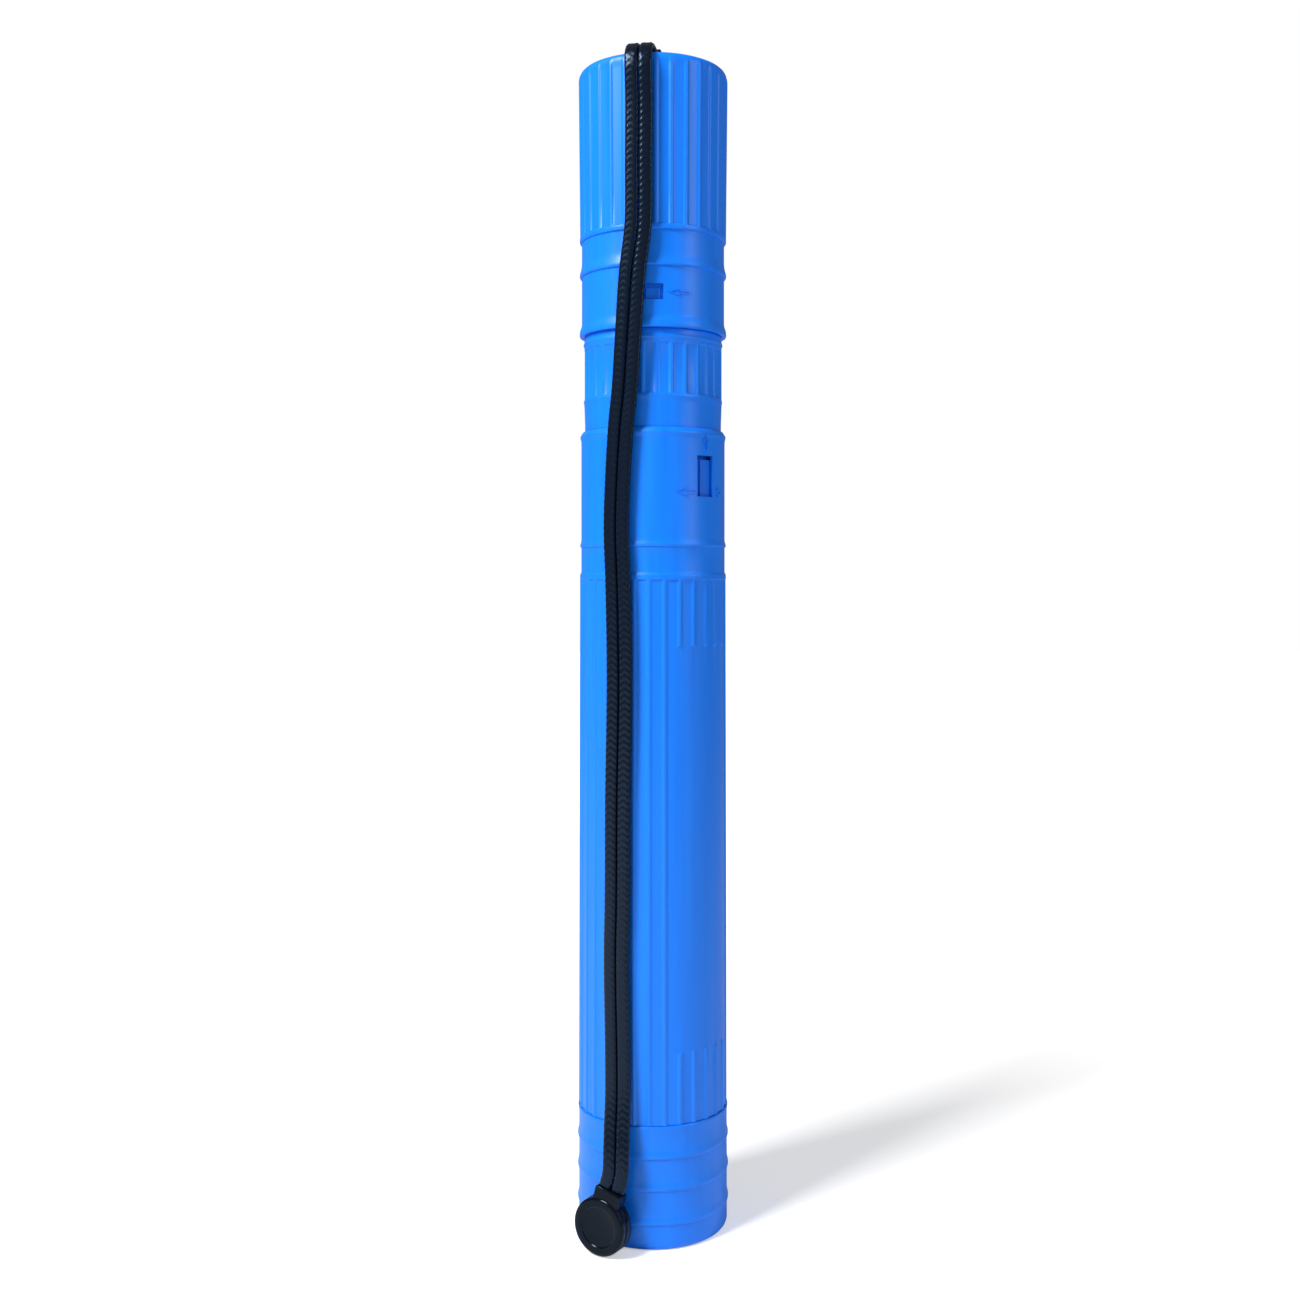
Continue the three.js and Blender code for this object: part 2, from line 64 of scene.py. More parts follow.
# Strap cords
# Two flat-braided black polyester cords lie side by side: they leave the lid button's ferrule,
# cross the rim, hang down the front and end clamped in the lower button's ferrule.
cord_thickness = 0.0042
cord_spacing = 0.0073
over_rim = [
    (-10.4, -12.5, 3.9), (-10.4, -8, 4), (-10.4, -3.4, 3.1), (-10.3, 0.5, 0.5), (-10.2, 3.1, -3.4),
    (-10, 4, -8), (-9.8, 3.7, -16), (-9.6, 3.1, -26), (-9.9, 2.8, -57), (-10.3, 2.8, -91),
]
down_front = [
    (-14.3, 3.1, 507), (-17.3, 3.1, 475), (-19.9, 3.1, 446), (-22.6, 3.1, 428), (-25.4, 3.1, 395),
    (-26.2, 3.1, 373), (-24.9, 3.1, 347), (-23.7, 3.1, 296), (-25, 3.1, 234), (-25.4, 3.1, 182),
    (-26.1, 3.1, 151), (-24.9, 3.3, 100), (-24.3, 4.2, 80), (-23.5, 6.8, 65), (-22.4, 9.6, 53),
]
lid_radius = 40.5
body_radius = 40.2
total_height = 622
button_middle = 4.5
cord_start = 20.3
cord_lead_in = 8
top_place = Matrix.Rotation(math.radians(-10.4), 4, "Z") @ Matrix.Translation((0, 0, 621.2))
end_place = (
    Matrix.Rotation(math.radians(-31), 4, "Z") @ Matrix.Translation((0, -46.1, 15.5))
    @ Matrix.Rotation(math.radians(90), 4, "X") @ Matrix.Rotation(math.radians(164), 4, "Z")
)
around_count = 24
ring_step = 0.0006
stitch_pitch = 0.0034
stitch_relief = 0.0004
column_relief = 0.00035


def across_strap(point, along):
    sideways = Vector((-point.y, point.x, 0))
    return (sideways - along * (sideways.dot(along) / along.length_squared)).normalized()


def route_point(turn, radius, height):
    angle = math.radians(turn)
    return Vector((radius * math.sin(angle), -radius * math.cos(angle), height))


def strand_points(side):
    middle = [
        top_place @ Vector((0, -cord_start, button_middle)),
        *[route_point(turn, lid_radius + out, total_height + rise) for turn, out, rise in over_rim],
        *[route_point(turn, body_radius + out, height) for turn, out, height in down_front],
        end_place @ Vector((0, -cord_start - cord_lead_in, button_middle)),
        end_place @ Vector((0, -cord_start, button_middle)),
    ]
    middle = [point / 1000 for point in middle]
    points = []
    for i, point in enumerate(middle):
        along = middle[min(i + 1, len(middle) - 1)] - middle[max(i - 1, 0)]
        points.append(point + across_strap(point, along) * (side * cord_spacing / 2))
    return points


def smooth_line(points, step):
    """A centripetal curve through the points, in even steps."""
    ends = [points[0] * 2 - points[1], *points, points[-1] * 2 - points[-2]]
    fine = []
    for a, b, c, d in zip(ends, ends[1:], ends[2:], ends[3:]):
        ta = (b - a).length ** 0.5
        tb = (c - b).length ** 0.5
        tc = (d - c).length ** 0.5
        slope_b = ((b - a) / ta - (c - a) / (ta + tb) + (c - b) / tb) * tb
        slope_c = ((c - b) / tb - (d - b) / (tb + tc) + (d - c) / tc) * tb
        for i in range(64):
            t = i / 64
            fine.append(
                b * (2 * t**3 - 3 * t**2 + 1) + slope_b * (t**3 - 2 * t**2 + t)
                + c * (3 * t**2 - 2 * t**3) + slope_c * (t**3 - t**2)
            )
    fine.append(points[-1])
    run = [0]
    for a, b in zip(fine, fine[1:]):
        run.append(run[-1] + (b - a).length)
    count = round(run[-1] / step)
    even = []
    k = 0
    for i in range(count + 1):
        target = run[-1] * i / count
        while k < len(run) - 2 and run[k + 1] < target:
            k += 1
        share = (target - run[k]) / (run[k + 1] - run[k])
        even.append(fine[k].lerp(fine[k + 1], min(share, 1)))
    return even


def braid_height(around, run):
    """Relief of two columns of V stitches on each broad side."""
    column = (around * 4) % 1
    groove = math.cos(math.tau * (column - 0.5)) * 0.5 + 0.5
    slant = abs(column - 0.5) * 1.5
    stitch = math.cos(math.tau * (run / stitch_pitch + slant))
    return stitch_relief * (stitch * 0.5 - 0.5) * (0.35 + 0.65 * groove) + column_relief * (groove - 1)


def squared(value):
    """A cosine or sine drawn out towards the corners of a flat section."""
    return math.copysign(abs(value) ** 0.8, value)


def braided_cord(name, side):
    line = smooth_line(strand_points(side), ring_step)
    bm = bmesh.new()
    around_layer = bm.verts.layers.int.new("around")
    run_layer = bm.verts.layers.float.new("run")
    ring = bmesh.ops.create_circle(bm, segments=around_count, radius=1)["verts"]
    for i, vert in enumerate(ring):
        vert[around_layer] = i
    edges = list(bm.edges)
    first = list(edges)
    run = 0
    for i, point in enumerate(line):
        ahead = line[min(i + 1, len(line) - 1)]
        behind = line[max(i - 1, 0)]
        along = (ahead - behind).normalized()
        sideways = across_strap(point, along)
        outwards = sideways.cross(along)
        if i:
            grown = bmesh.ops.extrude_edge_only(bm, edges=edges)["geom"]
            ring = [item for item in grown if isinstance(item, bmesh.types.BMVert)]
            edges = [item for item in grown if isinstance(item, bmesh.types.BMEdge)]
            run += (point - line[i - 1]).length
        for vert in ring:
            share = vert[around_layer] / around_count
            angle = math.tau * share
            relief = braid_height(share, run)
            vert.co = (
                point
                + sideways * squared(math.cos(angle)) * (cord_spacing / 2 + relief * 0.3)
                + outwards * squared(math.sin(angle)) * (cord_thickness / 2 + relief)
            )
            vert[run_layer] = run
    bmesh.ops.contextual_create(bm, geom=first)
    bmesh.ops.contextual_create(bm, geom=edges)
    uv = bm.loops.layers.uv.new("along_cord")
    for face in bm.faces:
        turns = [loop.vert[around_layer] for loop in face.loops]
        wraps = max(turns) - min(turns) > around_count / 2
        for loop in face.loops:
            turn = loop.vert[around_layer]
            if wraps and turn == 0:
                turn = around_count
            loop[uv].uv = (turn / around_count, loop.vert[run_layer] / stitch_pitch)
    bmesh.ops.recalc_face_normals(bm, faces=bm.faces)
    mesh = bpy.data.meshes.new(name)
    bm.to_mesh(mesh)
    bm.free()
    mesh.shade_smooth()
    piece = bpy.data.objects.new(name, mesh)
    scene.collection.objects.link(piece)
    mesh.materials.append(braid)
    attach(piece, "strap")
    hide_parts(name.replace("braided", "strap"))
    return piece, line


def new_material(name):
    material = bpy.data.materials.new(name)
    material.use_nodes = True
    nodes = material.node_tree.nodes
    return material, nodes, material.node_tree.links, nodes["Principled BSDF"]


braid, nodes, links, shader = new_material("black_braid")
shader.inputs["Roughness"].default_value = 0.24
shader.inputs["Specular IOR Level"].default_value = 0.3
# The blue specular tint is a painted blue reflection on the black cords.
shader.inputs["Specular Tint"].default_value = (0.5, 0.72, 1, 1)
coordinates = nodes.new("ShaderNodeUVMap")
coordinates.uv_map = "along_cord"
stretch = nodes.new("ShaderNodeVectorMath")
stretch.operation = "MULTIPLY"
stretch.inputs[1].default_value = (90, 3, 1)
links.new(coordinates.outputs["UV"], stretch.inputs[0])
fibres = nodes.new("ShaderNodeTexNoise")
fibres.inputs["Scale"].default_value = 1
fibres.inputs["Detail"].default_value = 3
links.new(stretch.outputs["Vector"], fibres.inputs["Vector"])
# Fibre noise varies the black at random; the blue cast in both ramp colours is a painted blue reflection.
shade = nodes.new("ShaderNodeValToRGB")
shade.color_ramp.elements[0].position = 0.3
shade.color_ramp.elements[0].color = (0.001, 0.003, 0.009, 1)
shade.color_ramp.elements[1].position = 0.75
shade.color_ramp.elements[1].color = (0.004, 0.009, 0.022, 1)
links.new(fibres.outputs["Fac"], shade.inputs["Fac"])
links.new(shade.outputs["Color"], shader.inputs["Base Color"])
fibre_bump = nodes.new("ShaderNodeBump")
fibre_bump.inputs["Strength"].default_value = 0.5
fibre_bump.inputs["Distance"].default_value = 0.0001
links.new(fibres.outputs["Fac"], fibre_bump.inputs["Height"])
links.new(fibre_bump.outputs["Normal"], shader.inputs["Normal"])

left_cord, left_line = braided_cord("braided_cord_left", -1)
right_cord, right_line = braided_cord("braided_cord_right", 1)

# Blue mouldings
# The four outer mouldings are azure polypropylene with a soft gloss; a fine vertical drag from
# the mould and faint flow marks show in the shine.
blue_colour = (0.002, 0.22, 0.97, 1)
blue_deep = (0.001, 0.165, 0.86, 1)


def mould_marks():
    group = bpy.data.node_groups.new("mould_marks", "ShaderNodeTree")
    group.interface.new_socket("Grain", in_out="INPUT", socket_type="NodeSocketFloat")
    group.interface.new_socket("Flow", in_out="OUTPUT", socket_type="NodeSocketFloat")
    group.interface.new_socket("Height", in_out="OUTPUT", socket_type="NodeSocketFloat")
    nodes = group.nodes
    links = group.links
    entry = nodes.new("NodeGroupInput")
    leave = nodes.new("NodeGroupOutput")
    place = nodes.new("ShaderNodeTexCoord")
    drag = nodes.new("ShaderNodeVectorMath")
    drag.operation = "MULTIPLY"
    drag.inputs[1].default_value = (220, 220, 9)
    links.new(place.outputs["Object"], drag.inputs[0])
    flow = nodes.new("ShaderNodeTexNoise")
    flow.inputs["Scale"].default_value = 1
    flow.inputs["Detail"].default_value = 2
    links.new(drag.outputs["Vector"], flow.inputs["Vector"])
    grain = nodes.new("ShaderNodeTexNoise")
    grain.inputs["Detail"].default_value = 2
    links.new(place.outputs["Object"], grain.inputs["Vector"])
    links.new(entry.outputs["Grain"], grain.inputs["Scale"])
    blend = nodes.new("ShaderNodeMath")
    blend.operation = "MULTIPLY_ADD"
    blend.inputs[1].default_value = 0.4
    links.new(grain.outputs["Fac"], blend.inputs[0])
    links.new(flow.outputs["Fac"], blend.inputs[2])
    links.new(flow.outputs["Fac"], leave.inputs["Flow"])
    links.new(blend.outputs["Value"], leave.inputs["Height"])
    return group


marks = mould_marks()


def moulded_blue(name, pale, deep, roughness):
    material, nodes, links, shader = new_material(name)
    surface = nodes.new("ShaderNodeGroup")
    surface.node_tree = marks
    surface.inputs["Grain"].default_value = 1400
    tint = nodes.new("ShaderNodeMix")
    tint.data_type = "RGBA"
    tint.inputs["A"].default_value = deep
    tint.inputs["B"].default_value = pale
    links.new(surface.outputs["Flow"], tint.inputs["Factor"])
    links.new(tint.outputs["Result"], shader.inputs["Base Color"])
    spread = nodes.new("ShaderNodeMapRange")
    spread.inputs["To Min"].default_value = roughness - 0.06
    spread.inputs["To Max"].default_value = roughness + 0.1
    links.new(surface.outputs["Flow"], spread.inputs["Value"])
    links.new(spread.outputs["Result"], shader.inputs["Roughness"])
    bump = nodes.new("ShaderNodeBump")
    bump.inputs["Strength"].default_value = 0.12
    bump.inputs["Distance"].default_value = 0.0002
    links.new(surface.outputs["Height"], bump.inputs["Height"])
    links.new(bump.outputs["Normal"], shader.inputs["Normal"])
    shader.inputs["Specular IOR Level"].default_value = 0.36
    return material


blue = moulded_blue("blue_moulding", blue_colour, blue_deep, 0.36)
blue_inside = moulded_blue("blue_inner_moulding", (0.003, 0.16, 0.82, 1), (0.002, 0.13, 0.72, 1), 0.4)

# Outer tube
# One moulding: ribbed body with a smooth panel for a label, plain collar with the lock window,
# beads and a lip; its turned-down foot sits in the base cap.
millimetre = 0.001
rib_count = 30
body_rib_phase = -3.0
rib_height = 0.7
rib_offsets = [0, 0.5, 0.85, 1.2, 1.6, 2.2, None, -2.2, -1.6, -1.2, -0.85, -0.5]
rib_depths = [0, 0.06, 0.25, 0.6, 0.9, 1, 1, 1, 0.9, 0.6, 0.25, 0.06]
columns = rib_count * len(rib_offsets)


def spun(profile, steps=columns):
    """A closed profile of (radius, height) in millimetres, turned about Z from the front."""
    bm = bmesh.new()
    verts = [bm.verts.new((0, -radius, height)) for radius, height in profile]
    edges = [bm.edges.new(pair) for pair in zip(verts, verts[1:] + verts[:1])]
    bmesh.ops.spin(
        bm, geom=verts + edges, cent=(0, 0, 0), axis=(0, 0, 1), dvec=(0, 0, 0),
        angle=math.tau, steps=steps, use_merge=True, use_duplicate=False,
    )
    bmesh.ops.remove_doubles(bm, verts=bm.verts, dist=0.0005)
    bmesh.ops.recalc_face_normals(bm, faces=bm.faces)
    return bm


def press_ribs(bm, phase, low, high, wall, depth_at):
    """Draws the columns of the outer skin to the rib edges and sinks the panels between them."""
    pitch = math.tau / rib_count
    per_pitch = len(rib_offsets)
    for vert in bm.verts:
        radius = math.hypot(vert.co.x, vert.co.y)
        turn = math.atan2(vert.co.x, -vert.co.y)
        column = round(turn / (math.tau / columns))
        rib, place = divmod(column, per_pitch)
        angle = math.radians(phase) + pitch * column / per_pitch
        if low <= vert.co.z <= high and radius > wall:
            offset = rib_offsets[place]
            if offset is not None:
                near = rib + (1 if place > per_pitch / 2 else 0)
                angle = math.radians(phase) + pitch * near + offset / radius
            radius -= rib_height * rib_depths[place] * depth_at(rib % rib_count, vert.co.z)
            label_depth = depth_at(rib % rib_count, vert.co.z, place)
            radius -= label_depth
        vert.co.x = radius * math.sin(angle)
        vert.co.y = -radius * math.cos(angle)


def ramp(value, start, end):
    share = min(max((value - start) / (end - start), 0), 1)
    return share * share * (3 - 2 * share)


def finished(bm, name, material, node, body, sharp=40):
    """Turns the millimetre mesh into a piece in metres that stands for its CAD node."""
    bmesh.ops.scale(bm, vec=(millimetre, millimetre, millimetre), verts=bm.verts)
    mesh = bpy.data.meshes.new(name)
    bm.to_mesh(mesh)
    bm.free()
    mesh.shade_smooth()
    mesh.set_sharp_from_angle(angle=math.radians(sharp))
    mesh.materials.append(material)
    piece = bpy.data.objects.new(name, mesh)
    scene.collection.objects.link(piece)
    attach(piece, body)
    if node:
        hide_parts(node)
    return piece


def cut_opening(piece, turn, width, inner, outer, low, high):
    """Cuts a radial window through the wall."""
    bm = bmesh.new()
    bmesh.ops.create_cube(bm, size=1)
    bmesh.ops.scale(bm, vec=(width, outer - inner, high - low), verts=bm.verts)
    bmesh.ops.translate(bm, vec=(0, -(inner + outer) / 2, (low + high) / 2), verts=bm.verts)
    bmesh.ops.rotate(bm, matrix=Matrix.Rotation(math.radians(turn), 3, "Z"), verts=bm.verts)
    bmesh.ops.scale(bm, vec=(millimetre, millimetre, millimetre), verts=bm.verts)
    mesh = bpy.data.meshes.new("window_cutter")
    bm.to_mesh(mesh)
    bm.free()
    cutter = bpy.data.objects.new("window_cutter", mesh)
    scene.collection.objects.link(cutter)
    cut = piece.modifiers.new("window", "BOOLEAN")
    cut.operation = "DIFFERENCE"
    cut.solver = "EXACT"
    cut.object = cutter
    bpy.context.view_layer.update()
    evaluated = piece.evaluated_get(bpy.context.evaluated_depsgraph_get())
    opened = bpy.data.meshes.new_from_object(evaluated)
    piece.modifiers.remove(cut)
    piece.data = opened
    bpy.data.objects.remove(cutter)
    opened.set_sharp_from_angle(angle=math.radians(30))


label_low = 102
label_high = 312.5
label_ribs = range(2, 7)


def body_depth(rib, height, place=None):
    if place is None:
        return 1 - ramp(height, 347.2, 348)
    if height > 330:
        return 0
    near = (rib + (1 if place > len(rib_offsets) / 2 else 0)) % rib_count
    if near not in label_ribs:
        return 0
    sunk = ramp(height, label_low - 1, label_low) * (1 - ramp(height, label_high, label_high + 1))
    return sunk * rib_height * (1 - rib_depths[place])


bm = spun([
    (37.4, 55.5), (38.6, 55.5), (38.7, 55.7), (38.7, 64.8), (40.2, 64.8), (40.2, 65.2), (40.18, 80),
    (40.14, 100.8), (40.14, 101.2), (40.14, 101.5), (40.14, 101.8), (40.14, 102.1), (40.1, 130), (39.95, 207),
    (39.75, 290), (39.66, 312.4), (39.66, 312.7), (39.66, 313), (39.66, 313.3), (39.66, 313.7), (39.62, 330),
    (39.6, 347), (39.6, 347.3), (39.6, 347.5), (39.6, 347.7), (39.6, 347.9), (39.6, 348.1), (39.6, 349.6),
    (39.56, 350.2), (39.4, 350.7), (39.1, 351.2), (38.95, 351.6), (38.9, 352.2), (38.9, 358), (38.9, 364.9),
    (38.92, 365), (39.3, 365.1), (39.48, 365.4), (39.55, 366), (39.48, 366.6), (39.25, 367.3), (39.02, 368.1),
    (38.9, 369.2), (38.9, 395), (38.9, 421.6), (39, 422.6), (39.2, 423.4), (39.38, 424), (39.42, 424.6),
    (39.3, 425.2), (38.5, 426.5), (38.15, 427), (37.9, 427.3), (37.65, 427.4), (37.47, 427.3), (37.4, 427.1),
    (37.4, 388.3), (37.3, 388), (35.3, 388), (35.1, 387.8), (35.1, 385.8), (35.3, 385.5), (37.4, 384.1),
])
press_ribs(bm, body_rib_phase, 64.8, 348.2, 38.8, body_depth)
outer = finished(bm, "ribbed_outer_tube", blue, "outer_tube", "outer")
cut_opening(outer, 45.2, 11.8, 36, 42, 391.4, 413)

# Base cap
# A round cap of the same blue pressed over the outer tube's foot, with a lip, three rolled hoops,
# a rounded corner and a flat foot ring around a shallow recess.
bm = spun([
    (4.2, 1.2), (23.6, 1.2), (24, 1.1), (24.9, 0.1), (25.2, 0), (37, 0), (38.1, 0.2), (39.1, 0.8), (39.8, 1.7),
    (40.1, 2.8), (40.15, 4), (40.1, 12), (40.12, 12.9), (40.4, 13.1), (40.7, 13.6), (40.8, 14.4), (40.7, 15.3),
    (40.4, 16.4), (40.12, 18), (40.1, 22), (40.1, 29.8), (40.12, 30.5), (40.4, 30.7), (40.7, 31.2),
    (40.8, 32), (40.7, 32.9), (40.4, 34), (40.12, 35.6), (40.1, 40), (40.1, 46.3), (40.12, 47),
    (40.4, 47.2), (40.7, 47.7), (40.8, 48.5), (40.7, 49.4), (40.4, 50.5), (40.12, 52.1), (40.1, 57),
    (40.15, 61), (40.4, 62.6), (40.5, 63.4), (40.48, 64), (40.3, 64.4), (40.1, 64.5), (39.1, 64.5), (39, 64.4),
    (39, 55.2), (37.4, 55.2), (37.4, 4.2), (36.8, 3.6), (4.4, 3.6), (4.2, 3.4),
], 160)
finished(bm, "hooped_base_cap", blue, "base_cap", "outer")

# Lock ring
# A ring turning inside the collar on its shelf; four tongues reach into the shaft's keyways and a
# shallow notch shows in the window.
bm = spun([(35.1, 388.3), (37, 388.3), (37.1, 388.5), (37.1, 410.8), (36.9, 411), (35.2, 411), (35.1, 410.9)], 160)
for i in range(4):
    key = bmesh.ops.create_cube(bm, size=1)["verts"]
    bmesh.ops.scale(bm, vec=(6, 1.9, 22.7), verts=key)
    bmesh.ops.translate(bm, vec=(0, -34.95, 399.65), verts=key)
    bmesh.ops.rotate(bm, matrix=Matrix.Rotation(math.radians(20 + 90 * i), 3, "Z"), verts=key)
ring = finished(bm, "turning_lock_ring", blue_inside, "lock_ring", "lock")
cut_opening(ring, 38.9, 3.6, 36.1, 40, 387, 412)

# Inner tube
# The plain sliding shaft, with four keyways along it and a guide bead at its foot.
bm = spun([
    (33, 3.9), (34.5, 3.9), (37, 5.4), (37.1, 5.6), (37.1, 14), (37, 14.3), (36.1, 15.8), (35.9, 15.9),
    (34.5, 15.9), (34.5, 200), (34.5, 544.4), (34.4, 544.8), (34, 545), (33.1, 545), (33, 544.9),
], 160)
shaft = finished(bm, "sliding_shaft", blue_inside, "inner_tube", "inner")
for i in range(4):
    cut_opening(shaft, 20 + 90 * i, 6.8, 33.7, 45, 16.9, 415)

# Neck collar
# Ribbed ring fixed on the shaft: plain band, ring, ribs between two shelves, a small bead, and
# the spigot with its lugs that the lid turns on.
neck_rib_phase = 3.2


def neck_depth(rib, height, place=None):
    if place is not None:
        return 0
    return ramp(height, 444.9, 445.5) * (1 - ramp(height, 471.1, 471.7))


bm = spun([
    (34.8, 416), (36.7, 416), (36.9, 416.2), (36.9, 431.4), (37, 434), (37.2, 440), (37.3, 442.3), (37.5, 443),
    (37.56, 443.7), (37.5, 444.3), (37.3, 444.7), (37.25, 444.9), (37.25, 445.1), (37.25, 445.3), (37.25, 445.6),
    (37.25, 458), (37.25, 471), (37.25, 471.3), (37.25, 471.5), (37.25, 471.8), (37.25, 473.2), (37.35, 473.6),
    (37.65, 474), (37.75, 474.5), (37.65, 475), (37.4, 475.6), (37.25, 476.3), (37.25, 478.2), (37.1, 478.6),
    (36.9, 478.7), (36.55, 478.7), (36.55, 489.3), (35.8, 489.9), (35.8, 504), (36.55, 504.6), (36.55, 508.7),
    (36.3, 509), (34.8, 509),
])
press_ribs(bm, neck_rib_phase, 444.9, 471.9, 37, neck_depth)
for turn in (0, 180):
    lug = bmesh.ops.create_cube(bm, size=1)["verts"]
    bmesh.ops.scale(bm, vec=(7.4, 1.15, 6.2), verts=lug)
    bmesh.ops.translate(bm, vec=(0, -35.775, 496.4), verts=lug)
    bmesh.ops.rotate(bm, matrix=Matrix.Rotation(math.radians(turn), 3, "Z"), verts=lug)
finished(bm, "ribbed_neck", blue, "neck_collar", "inner")

# Lid
# A deep cap moulded in one: rounded rim, ribs that run out at the rim and stop at the first bead,
# two plain bands, a rolled lip, a small window over the lug and a recessed top with the stud hole.
lid_rib_phase = 2.0


def lid_depth(rib, height, place=None):
    if place is not None:
        return 0
    return ramp(height, 532.3, 532.9) * (1 - ramp(height, 615, 620.6))


bm = spun([
    (36.9, 479.2), (37.1, 479), (39.2, 479), (39.6, 479.15), (39.78, 479.6), (39.8, 480.4), (39.7, 481.6),
    (39.4, 482.8), (38.95, 484), (38.7, 484.9), (38.62, 486), (38.6, 488), (38.6, 498), (38.6, 510.6),
    (38.62, 510.9), (39, 511), (39.5, 511.2), (39.75, 511.7), (39.78, 512.3), (39.6, 513.2), (39.25, 514.5),
    (38.85, 516.2), (38.65, 518), (38.6, 520), (38.6, 524), (38.6, 529.4), (38.62, 529.7), (39.1, 529.8),
    (39.5, 530), (39.72, 530.5), (39.75, 531.2), (39.71, 532.1), (39.71, 532.4), (39.72, 532.7), (39.72, 533),
    (39.85, 550), (40.1, 575), (40.35, 600), (40.48, 614), (40.5, 615.5), (40.48, 617), (40.3, 618.4),
    (39.95, 619.6), (39.35, 620.6), (38.5, 621.4), (37.5, 621.85), (36.4, 622), (34.5, 622), (34, 621.8),
    (33.6, 621), (33.3, 620.9), (4.4, 620.9), (4.2, 620.7), (4.2, 618.7), (37.6, 618.7), (38.1, 618.2),
    (38.1, 537.2), (36.9, 535.2),
])
press_ribs(bm, lid_rib_phase, 532.2, 621.9, 38.3, lid_depth)
lid = finished(bm, "ribbed_lid", blue, "lid", "lid")
cut_opening(lid, 0, 10.7, 35, 42, 493.3, 501.6)

# Arrows
# Small arrows stand a third of a millimetre proud of collar and lid and show which way to turn
# and pull; they are moulded with the wall, so they share its blue.
arrow_relief = 0.5


def raised_arrow(name, turn, height, wall, pointing, length, width, body):
    bm = bmesh.new()
    head = length * 0.5
    corners = [
        (0, 0), (head, width / 2), (head, width / 5), (length, width / 5),
        (length, -width / 5), (head, -width / 5), (head, -width / 2),
    ]
    face = bm.faces.new([bm.verts.new((x, 0, z)) for x, z in corners])
    bm.normal_update()
    bmesh.ops.inset_region(bm, faces=[face], thickness=width * 0.12, use_even_offset=True, use_boundary=True)
    bmesh.ops.delete(bm, geom=[face], context="FACES")
    bmesh.ops.rotate(bm, matrix=Matrix.Rotation(math.radians(pointing), 3, "Y"), verts=bm.verts)
    bmesh.ops.recalc_face_normals(bm, faces=bm.faces)
    grown = bmesh.ops.extrude_face_region(bm, geom=list(bm.faces))["geom"]
    top = [item for item in grown if isinstance(item, bmesh.types.BMVert)]
    bmesh.ops.translate(bm, vec=(0, -arrow_relief, 0), verts=top)
    for vert in bm.verts:
        radius = wall - vert.co.y
        angle = math.radians(turn) + vert.co.x / wall
        vert.co = (radius * math.sin(angle), -radius * math.cos(angle), vert.co.z + height)
    bmesh.ops.recalc_face_normals(bm, faces=bm.faces)
    return finished(bm, name, blue, None, body)


raised_arrow("pull_arrow", 45.2, 424, 38.85, 90, 8.5, 4.2, "outer")
raised_arrow("lock_arrow", 17.5, 394, 38.85, 0, 12, 5.5, "outer")
raised_arrow("unlock_arrow", 67, 394, 38.85, 180, 8.5, 5.5, "outer")
raised_arrow("lid_arrow", 11.6, 497.4, 38.55, 0, 12, 4.2, "lid")

# Strap buttons
# Glossy black moulded buttons in two halves that clamp both cords in a ferrule; the upper one is
# snapped through the lid and held by a clip, the lower one hangs free beside the base.
button_radius = 15
button_thickness = 9
gloss, nodes, links, shader = new_material("black_gloss")
shader.inputs["Specular IOR Level"].default_value = 0.2
# The blue specular tint is a painted blue reflection on the black buttons.
shader.inputs["Specular Tint"].default_value = (0.55, 0.75, 1, 1)
place = nodes.new("ShaderNodeTexCoord")
smudge = nodes.new("ShaderNodeTexNoise")
smudge.inputs["Scale"].default_value = 160
smudge.inputs["Detail"].default_value = 4
links.new(place.outputs["Object"], smudge.inputs["Vector"])
wear = nodes.new("ShaderNodeMapRange")
wear.inputs["To Min"].default_value = 0.06
wear.inputs["To Max"].default_value = 0.26
links.new(smudge.outputs["Fac"], wear.inputs["Value"])
links.new(wear.outputs["Result"], shader.inputs["Roughness"])
# Smudge noise varies the black at random; the blue cast in both tones is a painted blue reflection.
black = nodes.new("ShaderNodeMix")
black.data_type = "RGBA"
black.inputs["A"].default_value = (0.001, 0.0015, 0.003, 1)
black.inputs["B"].default_value = (0.004, 0.006, 0.011, 1)
links.new(smudge.outputs["Fac"], black.inputs["Factor"])
links.new(black.outputs["Result"], shader.inputs["Base Color"])


def button_half(profile, low, high, name, node, placing):
    bm = spun(profile, 96)
    block = bmesh.ops.create_cube(bm, size=1)["verts"]
    bmesh.ops.scale(bm, vec=(15, 6.5, high - low), verts=block)
    bmesh.ops.translate(bm, vec=(0, -16.75, (low + high) / 2), verts=block)
    upright = [
        edge for edge in bm.edges
        if all(vert in block for vert in edge.verts) and all(vert.co.y < -19 for vert in edge.verts)
    ]
    bmesh.ops.bevel(
        bm, geom=upright, offset=0.7, offset_type="OFFSET", segments=3, profile=0.5,
        affect="EDGES", material=-1,
    )
    bmesh.ops.transform(bm, matrix=placing, verts=bm.verts)
    return finished(bm, name, gloss, node, "strap")


base_profile = [
    (0, -5), (3.2, -5), (3.7, -4.85), (3.9, -4.5), (3.9, -3.9), (3.85, -3.85), (3, -3.85), (3, -2.4), (3.9, -2.35),
    (3.9, 0), (14.2, 0), (14.75, 0.2), (15, 0.7), (15, 4.1), (14.8, 4.35), (0, 4.35),
]
cover_profile = [
    (0, 4.65), (14.8, 4.65), (15, 4.9), (15, 7.4), (14.88, 8), (14.55, 8.5), (14, 8.85), (13.3, 9), (10.6, 9),
    (10.3, 8.9), (10.1, 8.6), (9.8, 8.5), (0, 8.5),
]
button_half(base_profile, 1, 4.35, "lid_button_back", "top_button_base", top_place)
button_half(cover_profile, 4.65, 8, "lid_button_face", "top_button_cover", top_place)
end_back = button_half(base_profile, 1, 4.35, "hanging_button_back", "end_button_base", end_place)
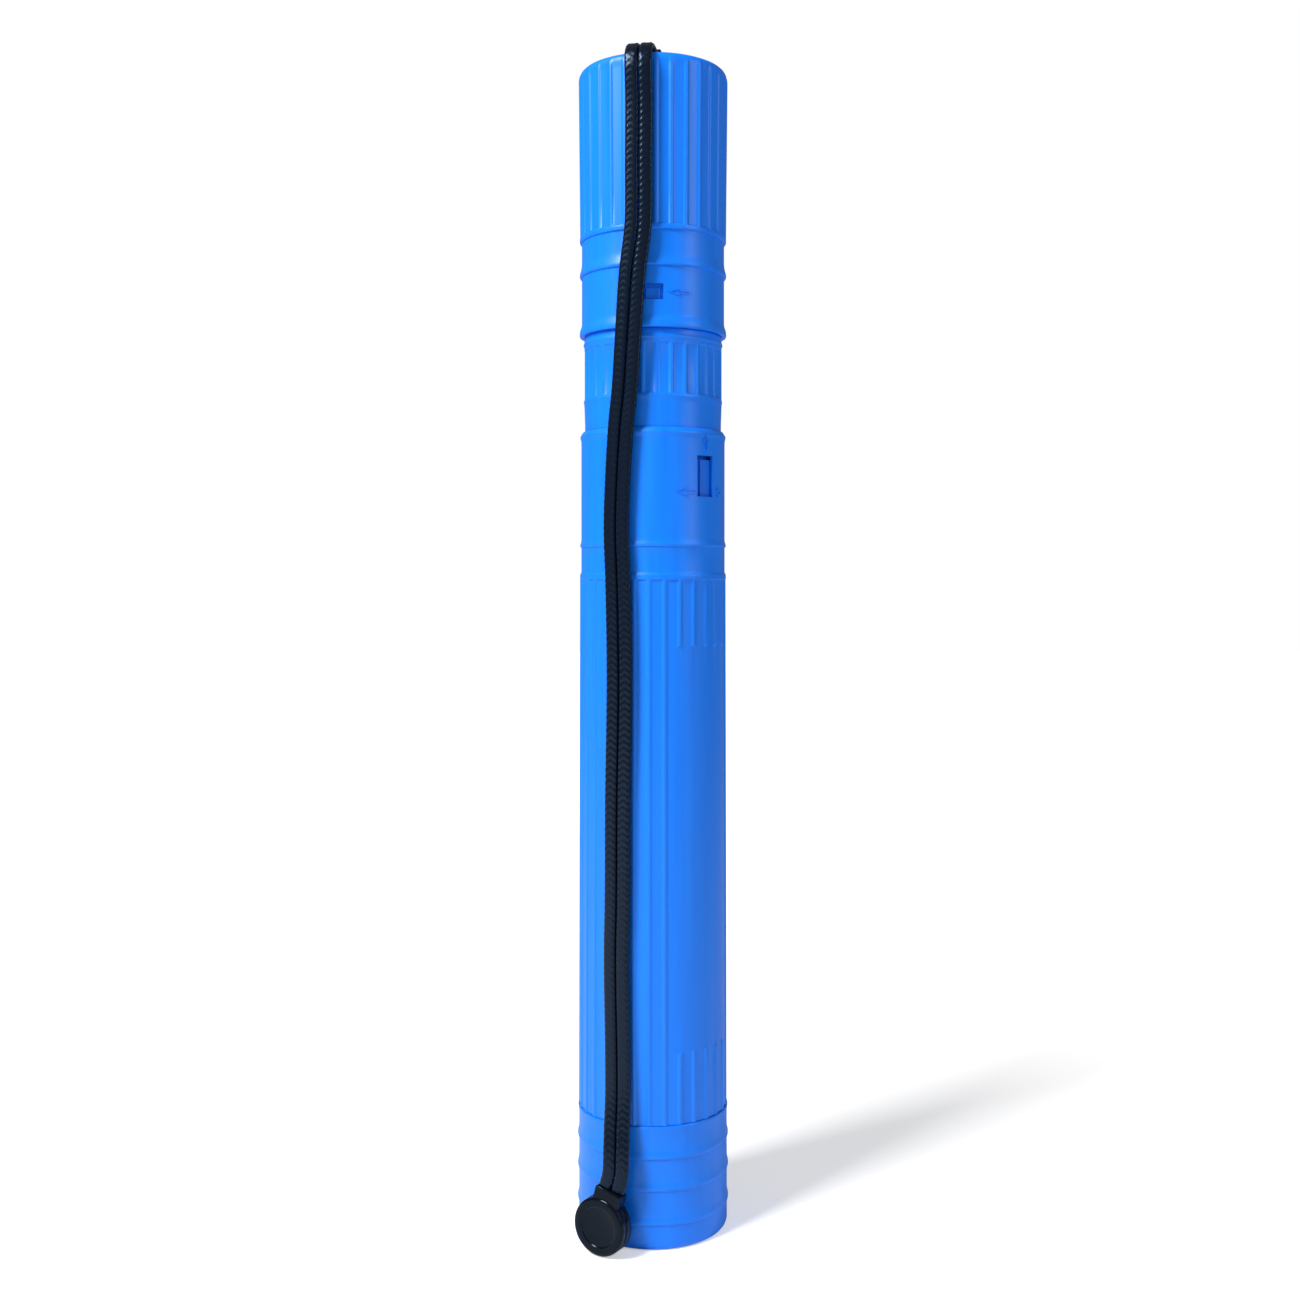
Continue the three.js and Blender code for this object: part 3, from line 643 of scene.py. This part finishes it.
end_face = button_half(cover_profile, 4.65, 8, "hanging_button_face", "end_button_cover", end_place)
clip_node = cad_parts["button_clip"]
clip_node.data.materials.clear()
clip_node.data.materials.append(gloss)

# Floor and light
# A pale floor that keeps the tube's shadow under a white surround, a broad soft lamp from the
# front left, a weaker one from the right and a low fill.
floor_mesh = bpy.data.meshes.new("floor")
bm = bmesh.new()
bmesh.ops.create_grid(bm, x_segments=1, y_segments=1, size=6)
bm.to_mesh(floor_mesh)
bm.free()
floor = bpy.data.objects.new("floor", floor_mesh)
scene.collection.objects.link(floor)
floor_paint, nodes, links, shader = new_material("floor_paint")
shader.inputs["Base Color"].default_value = (0.9, 0.9, 0.9, 1)
shader.inputs["Roughness"].default_value = 0.9
shader.inputs["Specular IOR Level"].default_value = 0.1
shader.inputs["Emission Color"].default_value = (1, 1, 1, 1)
seen = nodes.new("ShaderNodeLightPath")
glow = nodes.new("ShaderNodeMath")
glow.operation = "MULTIPLY"
spot = nodes.new("ShaderNodeTexCoord")
away = nodes.new("ShaderNodeVectorMath")
away.operation = "LENGTH"
links.new(spot.outputs["Object"], away.inputs[0])
fade = nodes.new("ShaderNodeMapRange")
fade.inputs["From Min"].default_value = 0.2
fade.inputs["From Max"].default_value = 1.4
fade.inputs["To Min"].default_value = 0.45
fade.inputs["To Max"].default_value = 1
links.new(away.outputs["Value"], fade.inputs["Value"])
links.new(fade.outputs["Result"], glow.inputs[1])
links.new(seen.outputs["Is Camera Ray"], glow.inputs[0])
links.new(glow.outputs["Value"], shader.inputs["Emission Strength"])
floor_mesh.materials.append(floor_paint)

world = bpy.data.worlds.new("surround")
scene.world = world
world.use_nodes = True
nodes = world.node_tree.nodes
links = world.node_tree.links
sky = nodes["Background"]
sky.inputs["Color"].default_value = (1, 1, 1, 1)
seen = nodes.new("ShaderNodeLightPath")
strength = nodes.new("ShaderNodeMapRange")
strength.inputs["To Min"].default_value = 0.18
strength.inputs["To Max"].default_value = 1
links.new(seen.outputs["Is Camera Ray"], strength.inputs["Value"])
links.new(strength.outputs["Result"], sky.inputs["Strength"])


def soft_lamp(name, place, target, size, power):
    data = bpy.data.lights.new(name, "AREA")
    data.shape = "RECTANGLE"
    data.size, data.size_y = size
    data.energy = power
    lamp = bpy.data.objects.new(name, data)
    lamp.location = place
    lamp.rotation_euler = (Vector(target) - Vector(place)).to_track_quat("-Z", "Y").to_euler()
    scene.collection.objects.link(lamp)


soft_lamp("front_left_lamp", (-1.2, -1.05, 1.75), (0, 0, 0.35), (0.6, 0.8), 66)
soft_lamp("right_lamp", (1.4, -0.7, 0.9), (0, 0, 0.3), (0.3, 1.0), 6)
